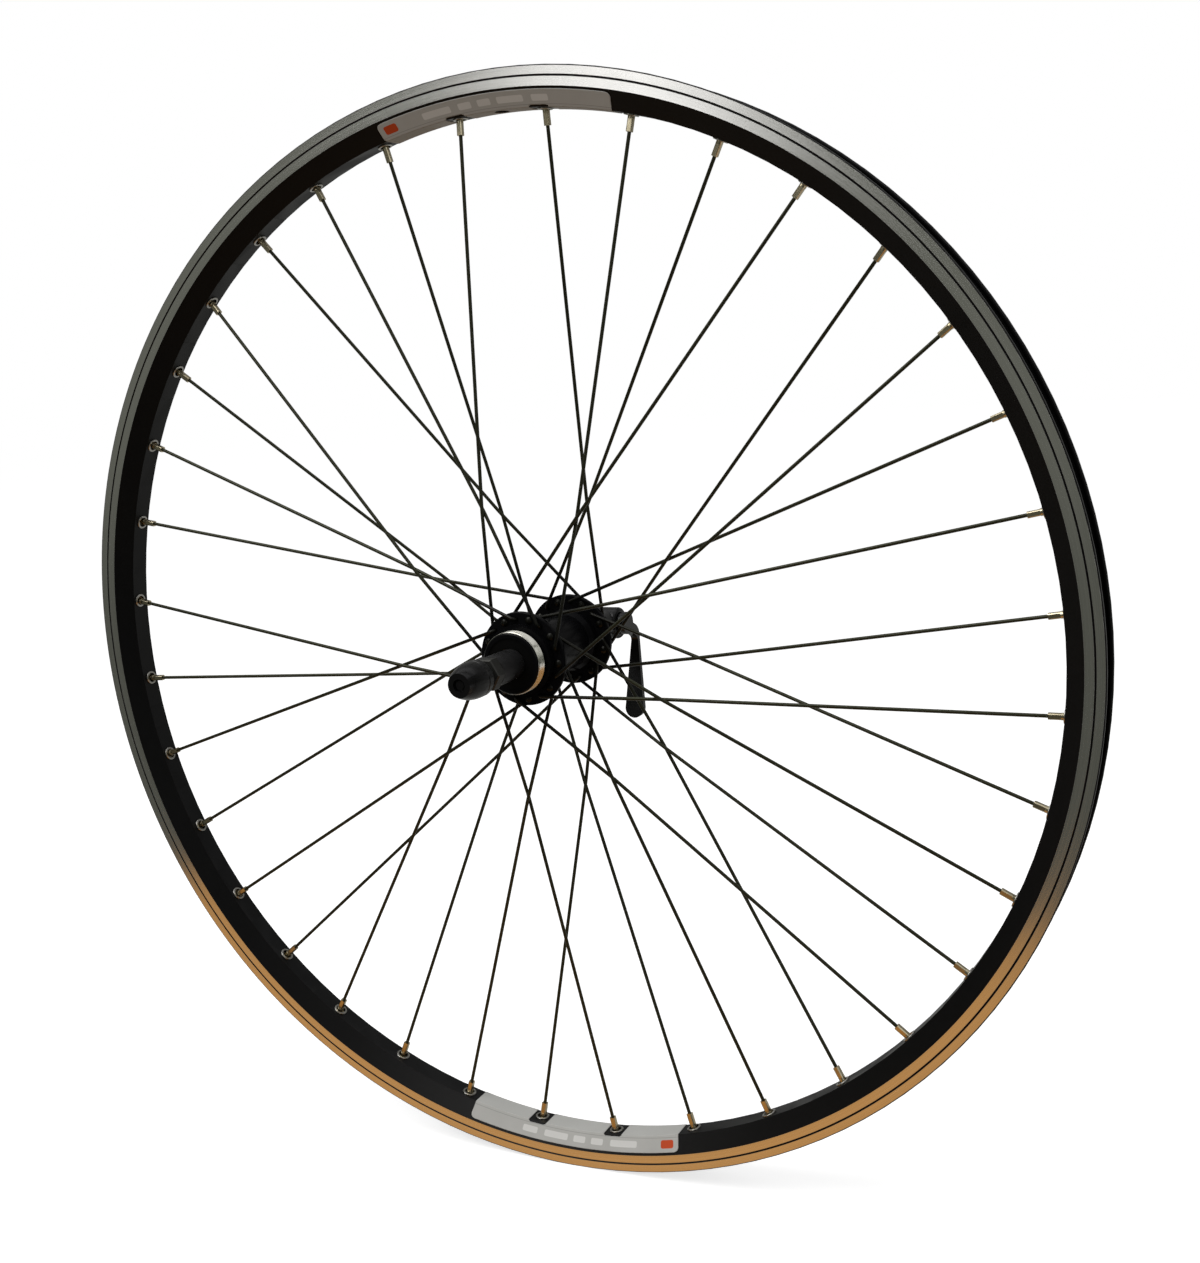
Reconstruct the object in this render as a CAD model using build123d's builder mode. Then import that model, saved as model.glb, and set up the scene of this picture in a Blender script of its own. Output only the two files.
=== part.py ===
from build123d import *

import os
from math import acos, cos, degrees, radians, sin, sqrt

# Rear bicycle wheel, 622 mm bead seat, 36 spokes, hub for a screw-on freewheel, hollow axle with a skewer.
# Millimetres. The wheel turns about Y, +Z is up, -Y is the right side, where the chain runs.
# The origin is where the axle's centre line meets the rim's middle plane.

# Rim: a hollow aluminium hoop with two brake tracks
bead_seat_diameter = 622.0
rim_edge_over_bead = 6.5
rim_width = 25.0
rim_depth = 20.5
rim_inner_width = 19.0
side_wall = 1.8
hook_height = 1.5
hook_slope = 1.1
bead_shelf_width = 2.4
well_drop = 2.8
well_width = 11.0
floor_wall = 1.5
bed_wall = 1.8
bed_width = 12.0
track_width = 10.85
track_step = 0.25
wear_groove_from_edge = 5.5
wear_groove_width = 1.0
wear_groove_depth = 0.4
rim_edge_radius = 0.7
cavity_corner = 0.8
valve_hole_diameter = 8.5
access_hole_diameter = 9.0

# Lacing: every spoke leaves the flange along a tangent and crosses three others
spoke_count = 36
crossings = 3
hole_stagger = 0.6
valve_angle = 90.0

# Spokes and nipples
spoke_diameter = 2.0
spoke_head_diameter = 4.4
spoke_head_height = 1.5
spoke_head_rim = 0.5
elbow_radius = 2.2
elbow_offset = 2.5
crossing_gap = 0.2
crossing_bend_radius = 40.0
thread_clearance = 0.02
nipple_length = 14.0
nipple_diameter = 3.9
nipple_flats = 3.3
nipple_flats_length = 6.5
nipple_head_diameter = 6.0
nipple_head_top = 0.8
nipple_head_edge = 0.9
nipple_slot_width = 1.2
nipple_slot_depth = 1.2
nipple_seat_radius = 3.4

# Eyelets: turned-over bushes in the spoke bed
eyelet_lip_diameter = 8.4
eyelet_lip_height = 0.8
eyelet_lip_edge = 0.4
eyelet_tube_diameter = 6.6
eyelet_throat_diameter = 5.0
eyelet_mouth_diameter = 6.0
eyelet_collar_diameter = 8.0
eyelet_collar_height = 0.7
eyelet_seat_diameter = 5.8

# Hub shell
flange_diameter = 53.8
flange_thickness = 3.0
flange_edge_radius = 0.8
hub_hole_circle = 45.6
hub_hole_diameter = 2.5
right_flange_y = -23.0
left_flange_y = 34.5
freewheel_thread_diameter = 34.92
freewheel_thread_length = 7.5
freewheel_thread_chamfer = 0.8
thread_relief_width = 1.5
thread_relief_depth = 1.0
freewheel_shoulder_diameter = 40.6
freewheel_shoulder_length = 5.0
left_boss_diameter = 34.0
left_boss_length = 6.5
left_boss_chamfer = 1.0
barrel_diameter = 33.0
barrel_collar_diameter = 37.0
barrel_collar_length = 4.0
barrel_taper_length = 3.0
barrel_bore = 26.0

# Bearings: loose balls between a pressed cup and a threaded cone
ball_diameter = 6.35
ball_count = 9
ball_circle = 20.4
ball_depth = 6.0
race_gap = 0.05
cup_diameter = 29.2
cup_length = 6.1
cup_lip_diameter = 18.4
cup_lip_thickness = 1.4
cap_thickness = 0.8
cap_inset = 0.6
cap_skirt = 2.4
cap_gap = 0.4

# Axle and what is clamped on it
axle_diameter = 10.0
axle_bore = 5.5
over_locknut = 135.0
axle_overhang = 5.5
axle_chamfer = 0.8
cone_diameter = 17.0
cone_nose_diameter = 13.2
cone_nose_length = 3.0
cone_flats = 15.0
cone_flats_length = 3.2
right_cone_end = -46.0
left_cone_end = 52.0
spacer_diameter = 17.5
locknut_flats = 17.0
locknut_height = 7.0
locknut_chamfer = 0.7

# Quick-release skewer
rod_diameter = 5.0
rod_fit = 0.06
clamp_gap = 4.0
nut_length = 21.5
nut_diameter = 20.4
nut_face_diameter = 18.0
nut_face_taper = 2.5
nut_end_diameter = 13.4
nut_groove_at = 6.5
nut_groove_depth = 0.5
nut_groove_width = 1.0
nut_pocket_diameter = 14.0
nut_pocket_depth = 6.0
nut_end_hole_diameter = 7.0
nut_end_hole_depth = 2.5
rod_end_inset = 1.0
housing_face_diameter = 17.0
housing_pocket_depth = 3.4
cam_to_face = 15.0
barrel_radius = 9.8
barrel_half_width = 8.6
barrel_end_radius = 2.4
journal_radius = 6.0
journal_fit = 0.05
cam_radius = 4.2
pin_radius = 2.9
cam_throw = 1.0
cam_half_width = 3.2
cam_side_gap = 0.3
eye_radius = 6.9
eye_clearance = 0.35
eye_half_width = 2.8
eye_room = 0.5
lever_boss_radius = 7.0
lever_boss_gap = 0.4
lever_boss_width = 4.6
lever_reach = 14.3
lever_drop = 62.0
lever_lean = 8.0
lever_neck_top = 2.5
lever_neck_height = 6.0
lever_neck_fall = 8.0
lever_thickness = 3.6
lever_shoulder_radius = 9.0
lever_arch_radius = 4.0
lever_taper_start = 12.0
lever_neck_width = 4.6
lever_tip_width = 12.6

# Worked-out sizes of the rim, from the hub's centre line outwards
half_width = rim_width / 2
bead_radius = bead_seat_diameter / 2
rim_radius = bead_radius + rim_edge_over_bead
bed_radius = rim_radius - rim_depth
track_radius = rim_radius - track_width
groove_radius = rim_radius - wear_groove_from_edge
inner_half = rim_inner_width / 2
channel_half = half_width - side_wall
well_radius = bead_radius - well_drop
floor_radius = well_radius - floor_wall
shelf_half = channel_half - bead_shelf_width

# Worked-out sizes of the lacing
spoke_radius = spoke_diameter / 2
side_count = spoke_count // 2
hole_pitch = 360 / side_count
lacing_angle = crossings * hole_pitch
crossing_angle = (2 * crossings - 1) * hole_pitch / 2
hole_radius = hub_hole_circle / 2

# Worked-out places along the axle
locknut_face = over_locknut / 2
right_shoulder_y = right_flange_y - flange_thickness / 2 - freewheel_shoulder_length
right_shell_end = right_shoulder_y - freewheel_thread_length - thread_relief_width
left_shell_end = left_flange_y + flange_thickness / 2 + left_boss_length
axle_end = locknut_face + axle_overhang
clamp_face = locknut_face + clamp_gap
cam_y = clamp_face + cam_to_face

# The two ends of the hub: name, outward direction along Y, end of the shell, outer end of the cone
right, left = "right", "left"
outward = {right: -1, left: 1}
flange_y = {right: right_flange_y, left: left_flange_y}
shell_end = {right: right_shell_end, left: left_shell_end}
cone_end = {right: right_cone_end, left: left_cone_end}
ball_y = {side: shell_end[side] - outward[side] * ball_depth for side in (right, left)}
first_rim_hole = {right: valve_angle + hole_pitch / 4, left: valve_angle - hole_pitch / 4}
stagger = {side: outward[side] * hole_stagger for side in (right, left)}

# The nipple's ball-shaped seat: its centre's height over the bed, from the eyelet's collar
seat_drop = sqrt(nipple_seat_radius**2 - (eyelet_seat_diameter / 2) ** 2)
seat_height = bed_wall + eyelet_collar_height + seat_drop
seat_radius = bed_radius + seat_height

os.makedirs("parts", exist_ok=True)


def save(builder, name):
    """Label a finished piece and write it to its own file."""
    builder.part.label = name
    export_step(builder.part, f"parts/{name}.step")


def polar(radius, angle, y=0.0):
    """A point at a radius and an angle about the axle, turned from +X towards +Z."""
    return Vector(radius * cos(radians(angle)), y, radius * sin(radians(angle)))


def seat_angle(diameter):
    """Angle on the nipple's ball-shaped seat, below its centre's level, where it is this wide."""
    return -degrees(acos(diameter / 2 / nipple_seat_radius))


def dome_radius(diameter, height):
    """Radius of the ball that makes a dome of this width and height."""
    return ((diameter / 2) ** 2 + height**2) / (2 * height)


def rim_plane(angle, y, radius):
    """A plane across a radial line of the wheel, its normal pointing out from the hub."""
    return Plane(origin=polar(radius, angle, y), x_dir=(0, 1, 0), z_dir=polar(1, angle))


def rim_holes():
    """Side, angle and offset of every spoke hole in the rim, in turn on the two sides."""
    return [
        (side, first_rim_hole[side] + step * hole_pitch, stagger[side])
        for side in (right, left)
        for step in range(side_count)
    ]


# Rim: half of its section is drawn from the spoke bed round the brake track to the well, then mirrored
bed_planes = [rim_plane(angle, y, bed_radius) for side, angle, y in rim_holes()]
floor_planes = [rim_plane(angle, y, floor_radius) for side, angle, y in rim_holes()]
valve_plane = rim_plane(valve_angle, 0, bed_radius)

with BuildPart() as rim:
    with BuildSketch(Plane.XY) as section:
        with BuildLine():
            Polyline(
                (bed_radius, 0),
                (bed_radius, bed_width / 2),
                (track_radius, half_width - track_step),
                (track_radius, half_width),
                (groove_radius - wear_groove_width / 2, half_width),
                (groove_radius, half_width - wear_groove_depth),
                (groove_radius + wear_groove_width / 2, half_width),
                (rim_radius, half_width),
                (rim_radius, inner_half),
                (rim_radius - hook_height, inner_half),
                (rim_radius - hook_height - hook_slope, channel_half),
                (bead_radius, channel_half),
                (bead_radius, shelf_half),
                (well_radius, well_width / 2),
                (well_radius, 0),
            )
            mirror(about=Plane.XZ)
        make_face()
        tips = section.vertices().group_by(Axis.X)[-1]
        fillet(tips, rim_edge_radius)
        with BuildLine():
            Polyline(
                (bed_radius + bed_wall, 0),
                (bed_radius + bed_wall, bed_width / 2 - cavity_corner),
                (track_radius, channel_half - cavity_corner),
                (bead_radius - floor_wall, channel_half - cavity_corner),
                (bead_radius - floor_wall, shelf_half + floor_wall / 2),
                (floor_radius, well_width / 2 + floor_wall / 2),
                (floor_radius, 0),
            )
            mirror(about=Plane.XZ)
        make_face(mode=Mode.SUBTRACT)
    revolve(axis=Axis.Y)
    with Locations(*bed_planes):
        Cylinder(eyelet_tube_diameter / 2, 4 * bed_wall, mode=Mode.SUBTRACT)
    with Locations(*floor_planes):
        Cylinder(access_hole_diameter / 2, 4 * floor_wall, mode=Mode.SUBTRACT)
    with Locations(valve_plane):
        Cylinder(valve_hole_diameter / 2, 2 * rim_depth, mode=Mode.SUBTRACT)
save(rim, "rim")

# Eyelet: a bush with a rolled lip under the bed and a collar over it that seats the nipple's round head
lip_radius = eyelet_lip_diameter / 2
lip_seat = sqrt(bed_radius**2 - lip_radius**2) - bed_radius
collar_top = bed_wall + eyelet_collar_height

with BuildPart() as eyelet:
    with BuildSketch(Plane.XZ) as section:
        with BuildLine():
            throat = seat_angle(eyelet_throat_diameter)
            turn = seat_angle(eyelet_seat_diameter) - throat
            seat = CenterArc((0, seat_height), nipple_seat_radius, throat, turn)
            Polyline(
                seat @ 1,
                (eyelet_collar_diameter / 2, collar_top),
                (eyelet_collar_diameter / 2, bed_wall),
                (eyelet_tube_diameter / 2, bed_wall),
                (eyelet_tube_diameter / 2, lip_seat),
                (lip_radius, lip_seat),
                (lip_radius, lip_seat - eyelet_lip_height),
                (eyelet_mouth_diameter / 2, lip_seat - eyelet_lip_height),
                seat @ 0,
            )
        make_face()
        fillet(section.vertices().group_by(Axis.Y)[0].sort_by(Axis.X)[-1], eyelet_lip_edge)
    revolve(axis=Axis.Z)

with BuildPart() as rim_eyelets:
    with Locations(*bed_planes):
        add(eyelet.part)
save(rim_eyelets, "rim_eyelets")


def hub_angle(side, step):
    """Angle of the flange hole for a side's rim hole, leading or trailing in turn, apart at the valve."""
    lead = outward[side] * (-1) ** (step + 1)
    return first_rim_hole[side] + step * hole_pitch + lead * lacing_angle, lead


def spoke_points(side, step):
    """Corners of a spoke's centre line: under its head, at the elbow, at the last crossing and at the seat."""
    angle, lead = hub_angle(side, step)
    elbow_side = outward[side] * (1 if lead < 0 else -1)
    hole = polar(hole_radius, angle, flange_y[side])
    seat = polar(seat_radius, first_rim_hole[side] + step * hole_pitch, stagger[side])
    face = elbow_side * flange_thickness / 2
    head = hole - Vector(0, face, 0)
    elbow = hole + Vector(0, face + elbow_side * elbow_offset, 0)
    across = polar(1, angle - lead * crossing_angle)
    run = seat - hole
    share = (hole.Z * across.X - hole.X * across.Z) / (run.X * across.Z - run.Z * across.X)
    weave = -elbow_side * (spoke_radius + crossing_gap / 2)
    crossing = hole + run * share + Vector(0, weave, 0)
    return head, elbow, crossing, seat


def nipple_plane(side, step):
    """A plane across a spoke's outer run at the nipple's seat, its normal pointing out from the hub."""
    head, elbow, crossing, seat = spoke_points(side, step)
    return Plane(origin=seat, x_dir=(0, 1, 0), z_dir=seat - crossing)


# Nipple: a round head with a ball-shaped underside, a shank and four flats for the key at its inner end
nipple_radius = nipple_diameter / 2
nipple_end = nipple_head_top - nipple_length

with BuildPart() as nipple:
    with BuildSketch(Plane.XZ):
        with BuildLine():
            shank = seat_angle(nipple_diameter)
            seat = CenterArc((0, 0), nipple_seat_radius, shank, seat_angle(nipple_head_diameter) - shank)
            edge = Line(seat @ 1, seat @ 1 + Vector(0, nipple_head_edge))
            rise = nipple_head_top - (edge @ 1).Y
            dome = RadiusArc(edge @ 1, (0, nipple_head_top), -dome_radius(nipple_head_diameter, rise))
            Polyline(dome @ 1, (0, nipple_end), (nipple_radius, nipple_end), seat @ 0)
        make_face()
    revolve(axis=Axis.Z)
    with BuildSketch(Plane.XY.offset(nipple_end)):
        Circle(nipple_diameter)
        Rectangle(nipple_flats, nipple_flats, mode=Mode.SUBTRACT)
    extrude(amount=nipple_flats_length, mode=Mode.SUBTRACT)
    with Locations((0, 0, nipple_head_top)):
        Box(nipple_head_diameter, nipple_slot_width, 2 * nipple_slot_depth, mode=Mode.SUBTRACT)
    Cylinder(spoke_radius + thread_clearance, 4 * nipple_length, mode=Mode.SUBTRACT)

nipple_planes = [nipple_plane(side, step) for side in (right, left) for step in range(side_count)]

with BuildPart() as spoke_nipples:
    with Locations(*nipple_planes):
        add(nipple.part)
save(spoke_nipples, "spoke_nipples")

# Spokes: a wire swept from its upset head through the elbow and the last crossing into its nipple
spoke_end_inset = nipple_slot_depth


def spoke(side, step):
    """One spoke, with its domed head on the flange's far face from the elbow."""
    head, elbow, crossing, seat = spoke_points(side, step)
    tip = seat + (crossing - seat).normalized() * spoke_end_inset
    away = (head - elbow).normalized()
    with BuildPart() as wire:
        with BuildLine() as centre_line:
            FilletPolyline(head, elbow, crossing, tip, radius=[elbow_radius, crossing_bend_radius])
        with BuildSketch(Plane(origin=head, z_dir=-away)):
            Circle(spoke_radius)
        sweep(path=centre_line.wire())
        head_plane = Plane(origin=head, x_dir=polar(1, 0), z_dir=away.cross(polar(1, 0)))
        with BuildSketch(head_plane):
            with BuildLine():
                rise = Line((spoke_head_diameter / 2, 0), (spoke_head_diameter / 2, -spoke_head_rim))
                height = spoke_head_height - spoke_head_rim
                dome = RadiusArc(rise @ 1, (0, -spoke_head_height), dome_radius(spoke_head_diameter, height))
                Polyline(dome @ 1, (0, 0), rise @ 0)
            make_face()
        revolve(axis=Axis(head, away))
    return wire


for side in (right, left):
    for step in range(side_count):
        save(spoke(side, step), f"{side}_spoke_{step + 1:02d}")

# Hub shell: turned from one bar, hollow, with two drilled flanges and a threaded seat for a freewheel
right_inner = right_flange_y + flange_thickness / 2
right_outer = right_flange_y - flange_thickness / 2
left_inner = left_flange_y - flange_thickness / 2
left_outer = left_flange_y + flange_thickness / 2
flange_radius = flange_diameter / 2
thread_radius = freewheel_thread_diameter / 2
cup_radius = cup_diameter / 2
cup_back = {
    side: ball_y[side] - outward[side] * (ball_diameter / 2 + race_gap + cup_lip_thickness)
    for side in (right, left)
}

with BuildPart() as hub_shell:
    with BuildSketch(Plane.XY) as section:
        with BuildLine():
            Polyline(
                (barrel_bore / 2, cup_back[right]),
                (cup_radius, cup_back[right]),
                (cup_radius, right_shell_end),
                (thread_radius - freewheel_thread_chamfer, right_shell_end),
                (thread_radius, right_shell_end + freewheel_thread_chamfer),
                (thread_radius, right_shoulder_y - thread_relief_width),
                (thread_radius - thread_relief_depth, right_shoulder_y - thread_relief_width),
                (thread_radius - thread_relief_depth, right_shoulder_y),
                (freewheel_shoulder_diameter / 2, right_shoulder_y),
                (freewheel_shoulder_diameter / 2, right_outer),
                (flange_radius, right_outer),
                (flange_radius, right_inner),
                (barrel_collar_diameter / 2, right_inner),
                (barrel_collar_diameter / 2, right_inner + barrel_collar_length),
                (barrel_diameter / 2, right_inner + barrel_collar_length + barrel_taper_length),
                (barrel_diameter / 2, left_inner - barrel_collar_length - barrel_taper_length),
                (barrel_collar_diameter / 2, left_inner - barrel_collar_length),
                (barrel_collar_diameter / 2, left_inner),
                (flange_radius, left_inner),
                (flange_radius, left_outer),
                (left_boss_diameter / 2, left_outer),
                (left_boss_diameter / 2, left_shell_end - left_boss_chamfer),
                (left_boss_diameter / 2 - left_boss_chamfer, left_shell_end),
                (cup_radius, left_shell_end),
                (cup_radius, cup_back[left]),
                (barrel_bore / 2, cup_back[left]),
                close=True,
            )
        make_face()
        fillet(section.vertices().group_by(Axis.X)[-1], flange_edge_radius)
    revolve(axis=Axis.Y)
    for side in (right, left):
        with Locations(Plane.XZ.offset(-flange_y[side])):
            with PolarLocations(hole_radius, side_count, start_angle=hub_angle(side, 0)[0]):
                Cylinder(hub_hole_diameter / 2, 2 * flange_thickness, mode=Mode.SUBTRACT)
save(hub_shell, "hub_shell")

# Bearings, the same at both ends of the hub
ball_radius = ball_diameter / 2
race_radius = ball_radius + race_gap
circle_radius = ball_circle / 2
cone_radius = cone_diameter / 2
axle_radius = axle_diameter / 2
screw_bore = axle_radius + thread_clearance
race_end = degrees(acos((circle_radius - cone_radius) / race_radius))


def bearing_cup(side):
    """A pressed steel cup whose hollow race holds the balls from outside and behind."""
    with BuildPart() as cup:
        with BuildSketch(Plane.XY):
            with BuildLine():
                race = CenterArc((circle_radius, ball_y[side]), race_radius, 0, -outward[side] * 90)
                Polyline(
                    race @ 1,
                    (cup_lip_diameter / 2, (race @ 1).Y),
                    (cup_lip_diameter / 2, cup_back[side]),
                    (cup_radius, cup_back[side]),
                    (cup_radius, cup_back[side] + outward[side] * cup_length),
                    (circle_radius + race_radius, cup_back[side] + outward[side] * cup_length),
                    race @ 0,
                )
            make_face()
        revolve(axis=Axis.Y)
    return cup


def bearing_balls(side):
    """The ring of loose steel balls."""
    with BuildPart(Plane.XZ.offset(-ball_y[side])) as balls:
        with PolarLocations(circle_radius, ball_count):
            Sphere(ball_radius)
    return balls


def bearing_cone(side):
    """A threaded cone whose race carries the balls from inside and in front, with two flats for a spanner."""
    nose_y = ball_y[side] - outward[side] * cone_nose_length
    with BuildPart() as cone:
        with BuildSketch(Plane.XY):
            with BuildLine():
                race = CenterArc((circle_radius, ball_y[side]), race_radius, 180, -outward[side] * race_end)
                Polyline(
                    race @ 1,
                    (cone_radius, cone_end[side]),
                    (screw_bore, cone_end[side]),
                    (screw_bore, nose_y),
                    (cone_nose_diameter / 2, nose_y),
                    (cone_nose_diameter / 2, ball_y[side]),
                    race @ 0,
                )
            make_face()
        revolve(axis=Axis.Y)
        with BuildSketch(Plane.XZ.offset(-cone_end[side])):
            Circle(cone_diameter)
            Rectangle(2 * cone_diameter, cone_flats, mode=Mode.SUBTRACT)
        extrude(amount=outward[side] * cone_flats_length, mode=Mode.SUBTRACT)
    return cone


def dust_cap(side):
    """A pressed cap in the end of the shell that covers the balls and clears the cone."""
    face_y = shell_end[side] - outward[side] * cap_inset
    back_y = face_y - outward[side] * cap_thickness
    with BuildPart() as cap:
        with BuildSketch(Plane.XY):
            with BuildLine():
                Polyline(
                    (cone_radius + cap_gap, face_y),
                    (cup_radius, face_y),
                    (cup_radius, back_y - outward[side] * cap_skirt),
                    (cup_radius - cap_thickness, back_y - outward[side] * cap_skirt),
                    (cup_radius - cap_thickness, back_y),
                    (cone_radius + cap_gap, back_y),
                    close=True,
                )
            make_face()
        revolve(axis=Axis.Y)
    return cap


def locknut(side):
    """A hexagon nut whose outer face stands on the frame's dropout."""
    with BuildPart() as nut:
        with BuildSketch(Plane.XZ.offset(-outward[side] * locknut_face)):
            RegularPolygon(locknut_flats / 2, 6, major_radius=False)
            Circle(screw_bore, mode=Mode.SUBTRACT)
        extrude(amount=outward[side] * locknut_height)
        outer_face = nut.faces().filter_by(Axis.Y).sort_by(Axis.Y, reverse=side == left)[0]
        chamfer(outer_face.outer_wire().edges(), locknut_chamfer)
    return nut


def spacer(side):
    """A plain sleeve that fills the axle between the cone and the locknut."""
    from_y = cone_end[side]
    length = locknut_face - locknut_height - abs(from_y)
    with BuildPart() as sleeve:
        with BuildSketch(Plane.XZ.offset(-from_y)):
            Circle(spacer_diameter / 2)
            Circle(screw_bore, mode=Mode.SUBTRACT)
        extrude(amount=-outward[side] * length)
    return sleeve


for side in (right, left):
    save(bearing_cup(side), f"{side}_bearing_cup")
    save(bearing_balls(side), f"{side}_bearing_balls")
    save(bearing_cone(side), f"{side}_bearing_cone")
    save(dust_cap(side), f"{side}_dust_cap")
    save(spacer(side), f"{side}_axle_spacer")
    save(locknut(side), f"{side}_locknut")

# Axle: a hollow rod that stands out of both locknuts into the dropouts
with BuildPart() as axle:
    with BuildSketch(Plane.XZ.offset(-axle_end)):
        Circle(axle_radius)
        Circle(axle_bore / 2, mode=Mode.SUBTRACT)
    extrude(amount=2 * axle_end)
    chamfer([face.outer_wire().edge() for face in axle.faces().filter_by(Axis.Y)], axle_chamfer)
save(axle, "hollow_axle")

# Skewer nut: a round cone, hollow at the clamping face where it goes over the axle's end
nut_face = -clamp_face
nut_end = nut_face - nut_length
rod_radius = rod_diameter / 2
nut_radius = nut_diameter / 2
groove_y = nut_face - nut_groove_at

with BuildPart() as skewer_nut:
    with BuildSketch(Plane.XY) as section:
        with BuildLine():
            flank = Polyline(
                (rod_radius + thread_clearance, nut_face - nut_pocket_depth),
                (nut_pocket_diameter / 2, nut_face - nut_pocket_depth),
                (nut_pocket_diameter / 2, nut_face),
                (nut_face_diameter / 2, nut_face),
                (nut_radius, nut_face - nut_face_taper),
                (nut_radius, groove_y + nut_groove_width / 2),
                (nut_radius - nut_groove_depth, groove_y),
                (nut_radius, groove_y - nut_groove_width / 2),
            )
            nose = TangentArc(flank @ 1, (nut_end_diameter / 2, nut_end), tangent=(0, -1))
            Polyline(
                nose @ 1,
                (nut_end_hole_diameter / 2, nut_end),
                (nut_end_hole_diameter / 2, nut_end + nut_end_hole_depth),
                (rod_radius + thread_clearance, nut_end + nut_end_hole_depth),
                flank @ 0,
            )
        make_face()
    revolve(axis=Axis.Y)
save(skewer_nut, "skewer_nut")

# Skewer rod: threaded in the nut, with an eye round the cam at its other end
rod_start = nut_end + rod_end_inset
eye_y = cam_y + cam_throw

with BuildPart() as skewer_rod:
    with BuildSketch(Plane.XZ.offset(-rod_start)):
        Circle(rod_radius)
    extrude(amount=-(eye_y - rod_start))
    with BuildSketch(Plane.YZ):
        with Locations((eye_y, 0)):
            Circle(eye_radius)
    extrude(amount=eye_half_width, both=True)
    with BuildSketch(Plane.YZ):
        with Locations((eye_y, cam_throw / 2)):
            SlotCenterToCenter(cam_throw, 2 * (cam_radius + eye_clearance), rotation=90)
    extrude(amount=eye_half_width, both=True, mode=Mode.SUBTRACT)
save(skewer_rod, "skewer_rod")

# Cam housing: a clamping collar on the axle's line and a cross barrel round the cam
cam_room = cam_half_width + cam_side_gap

with BuildPart() as cam_housing:
    with BuildSketch(Plane.YZ):
        with Locations((cam_y, 0)):
            Circle(barrel_radius)
    extrude(amount=barrel_half_width, both=True)
    fillet(cam_housing.edges().filter_by(GeomType.CIRCLE), barrel_end_radius)
    with BuildSketch(Plane.XZ.offset(-clamp_face)):
        Circle(housing_face_diameter / 2)
    extrude(amount=-cam_to_face)
    with BuildSketch(Plane.YZ):
        with Locations((cam_y, 0)):
            Circle(pin_radius + journal_fit)
    extrude(amount=-2 * barrel_half_width, mode=Mode.SUBTRACT)
    with BuildSketch(Plane.YZ):
        with Locations((cam_y, 0)):
            Circle(journal_radius + journal_fit)
    extrude(amount=2 * barrel_half_width, mode=Mode.SUBTRACT)
    with BuildSketch(Plane.YZ):
        with Locations((cam_y, 0)):
            Circle(eye_radius + cam_throw + eye_room)
    extrude(amount=cam_room, both=True, mode=Mode.SUBTRACT)
    with BuildSketch(Plane.XZ.offset(-clamp_face)):
        Circle(rod_radius + rod_fit)
    extrude(amount=-cam_to_face, mode=Mode.SUBTRACT)
    with BuildSketch(Plane.XZ.offset(-clamp_face)):
        Circle(nut_pocket_diameter / 2)
    extrude(amount=-housing_pocket_depth, mode=Mode.SUBTRACT)
save(cam_housing, "cam_housing")

# Cam lever: an arm that slopes out and then hangs down, leaning to the wheel, and the cam on its shaft
boss_x = barrel_half_width + lever_boss_gap
blade_x = boss_x + lever_boss_width / 2
blade_y = cam_y + lever_reach
tip_y = blade_y - lever_lean
tip_radius = lever_tip_width / 2
neck_bottom = lever_neck_top - lever_neck_height

with BuildPart() as cam_lever:
    with BuildSketch(Plane.YZ.offset(blade_x)):
        with BuildLine():
            outer = FilletPolyline(
                (cam_y, lever_neck_top),
                (blade_y + lever_thickness / 2, lever_neck_top - lever_neck_fall),
                (tip_y + lever_thickness / 2, -lever_drop),
                radius=lever_shoulder_radius,
            )
            inner = FilletPolyline(
                (cam_y, neck_bottom),
                (blade_y - lever_thickness / 2, neck_bottom - lever_neck_fall),
                (tip_y - lever_thickness / 2, -lever_drop),
                radius=lever_arch_radius,
            )
            Line(outer @ 0, inner @ 0)
            Line(outer @ 1, inner @ 1)
        make_face()
    extrude(amount=lever_tip_width, both=True)
    with BuildSketch(Plane.XZ):
        with BuildLine():
            edge = Polyline(
                (blade_x, lever_boss_radius),
                (blade_x + lever_neck_width / 2, lever_boss_radius),
                (blade_x + lever_neck_width / 2, -lever_taper_start),
                (blade_x + tip_radius, tip_radius - lever_drop),
            )
            RadiusArc(edge @ 1, (blade_x, -lever_drop), tip_radius)
            mirror(about=Plane.YZ.offset(blade_x))
        make_face()
    extrude(amount=-2 * blade_y, mode=Mode.INTERSECT)
    with BuildSketch(Plane.YZ.offset(boss_x)):
        with Locations((cam_y, 0)):
            Circle(lever_boss_radius)
    extrude(amount=lever_boss_width)
    with BuildSketch(Plane.YZ.offset(boss_x)):
        with Locations((cam_y, 0)):
            Circle(journal_radius)
    extrude(amount=cam_half_width - boss_x)
    with BuildSketch(Plane.YZ.offset(cam_half_width)):
        with Locations((cam_y + cam_throw, 0)):
            Circle(cam_radius)
    extrude(amount=-2 * cam_half_width)
    with BuildSketch(Plane.YZ.offset(-cam_half_width)):
        with Locations((cam_y, 0)):
            Circle(pin_radius)
    extrude(amount=cam_half_width - barrel_half_width)
save(cam_lever, "cam_lever")
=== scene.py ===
# %% [markdown]
# # A rear bicycle wheel
# The hard pieces come packed in one frame, in metres: the axle runs along Y, the wheel stands upright and
# the valve hole is on top. This lesson dresses them. It gives each metal its finish, lays the ridges of
# three screw threads over plain cylinders, sticks two printed films on the rim, and sets up a white
# studio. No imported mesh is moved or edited.

# %% Load the frame
from math import cos, pi, radians, sin

import bpy
import numpy as np
from mathutils import Matrix, Vector


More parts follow.
